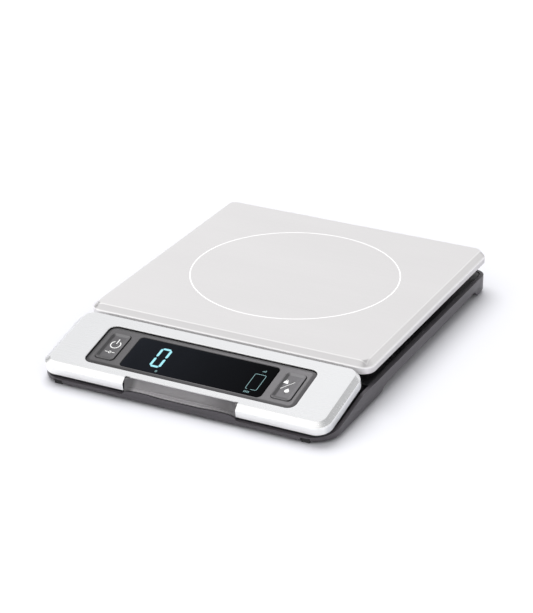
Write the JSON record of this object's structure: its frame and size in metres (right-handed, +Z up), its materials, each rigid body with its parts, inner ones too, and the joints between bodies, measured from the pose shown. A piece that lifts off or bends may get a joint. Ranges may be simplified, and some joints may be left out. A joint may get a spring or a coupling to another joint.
{
  "type": "digital counter scale",
  "caption": "Flat digital scale: square chamfered steel platform, sloping display head with readout and keys that slides out at the front, dark grey moulded base with finger arches",
  "frame": {"origin": "on the floor, under the middle of the whole object with the display head pushed in", "axes": "+X to the user's right, +Y to the back (the display head is at -Y), +Z up"},
  "size_m": [0.2036, 0.2624, 0.0275],
  "materials": {
    "brushed_steel": "fine satin brushed stainless steel",
    "plated_steel": "zinc-plated steel, lightly worn",
    "machined_aluminium": "milled aluminium",
    "base_plastic": "dark grey ABS, fine spark texture",
    "panel_plastic": "mid grey ABS, satin",
    "key_plastic": "mid grey ABS keys, satin, printed",
    "dark_plastic": "black ABS, semi-gloss",
    "pale_plastic": "natural acetal and nylon, hidden",
    "smoked_lens": "smoked acrylic, polished",
    "black_rubber": "black elastomer",
    "circuit_board": "glass-epoxy board, green solder mask",
    "white_silicone": "white silicone over the gauges",
    "cable_jacket": "grey PVC",
    "red_wire": "red PVC",
    "cell_jacket": "printed steel can, no lettering"
  },
  "bodies": {
    "base": {"base_tub": "base_plastic", "base_deck": "dark_plastic", "guide_rail_left": "pale_plastic", "guide_rail_right": "pale_plastic", "front_foot_left": "black_rubber", "front_foot_right": "black_rubber", "rear_foot_left": "black_rubber", "rear_foot_right": "black_rubber", "main_pcb": "circuit_board", "main_controller_chip": "dark_plastic", "base_ribbon_socket": "pale_plastic", "battery_holder": "dark_plastic", "battery_cell_1": "cell_jacket", "battery_cell_2": "cell_jacket", "battery_cell_3": "cell_jacket", "battery_cell_4": "cell_jacket", "battery_contact_front": "plated_steel", "battery_contact_back": "plated_steel", "battery_wire_red": "red_wire", "battery_wire_black": "dark_plastic", "case_screw_1": "plated_steel", "case_screw_2": "plated_steel", "case_screw_3": "plated_steel", "case_screw_4": "plated_steel", "load_cell": "machined_aluminium", "load_cell_spacer_fixed": "machined_aluminium", "load_cell_spacer_live": "machined_aluminium", "load_cell_screw_fixed": "plated_steel", "load_cell_screw_live": "plated_steel", "load_cell_gauge": "white_silicone", "load_cell_cable": "cable_jacket", "weighing_frame": "dark_plastic", "platform_pad_1": "black_rubber", "platform_pad_2": "black_rubber", "platform_pad_3": "black_rubber", "platform_pad_4": "black_rubber", "ribbon_cable": "cable_jacket"},
    "platform": {"platform_tray": "brushed_steel", "platform_liner": "pale_plastic"},
    "display_head": {"head_bezel": "brushed_steel", "insert_panel": "panel_plastic", "display_lens": "smoked_lens", "lcd_module": "dark_plastic", "head_pcb": "circuit_board", "tact_switch_left": "dark_plastic", "tact_switch_right": "dark_plastic", "head_lower_shell": "dark_plastic", "finger_scoop": "panel_plastic", "slide_arm_left": "plated_steel", "slide_arm_right": "plated_steel", "arm_screw_1": "plated_steel", "arm_screw_2": "plated_steel", "arm_screw_3": "plated_steel", "arm_screw_4": "plated_steel", "head_ribbon_socket": "pale_plastic"},
    "zero_key": {"zero_button": "key_plastic"},
    "unit_key": {"unit_button": "key_plastic"},
    "battery_door": {"battery_door": "base_plastic"}
  },
  "joints": [
    {"name": "display_slide", "type": "slide", "parent": "base", "child": "display_head", "axis": [0, -1, 0], "range_m": [0, 0.1], "deforming": ["ribbon_cable"]},
    {"name": "zero_button_press", "type": "slide", "parent": "display_head", "child": "zero_key", "axis": [0, 0.2159, -0.9764], "range_m": [0, 0.0006], "stiffness_N_per_m": 1500, "springref_m": -0.0004},
    {"name": "unit_button_press", "type": "slide", "parent": "display_head", "child": "unit_key", "axis": [0, 0.2159, -0.9764], "range_m": [0, 0.0006], "stiffness_N_per_m": 1500, "springref_m": -0.0004},
    {"name": "platform_lift", "type": "slide", "parent": "base", "child": "platform", "axis": [0, 0, 1], "range_m": [0, 0.03]},
    {"name": "battery_door_swing", "type": "hinge", "parent": "base", "child": "battery_door", "pos_m": [0, 0.1122, 0.002], "axis": [1, 0, 0], "range_deg": [0, 85]}
  ]
}
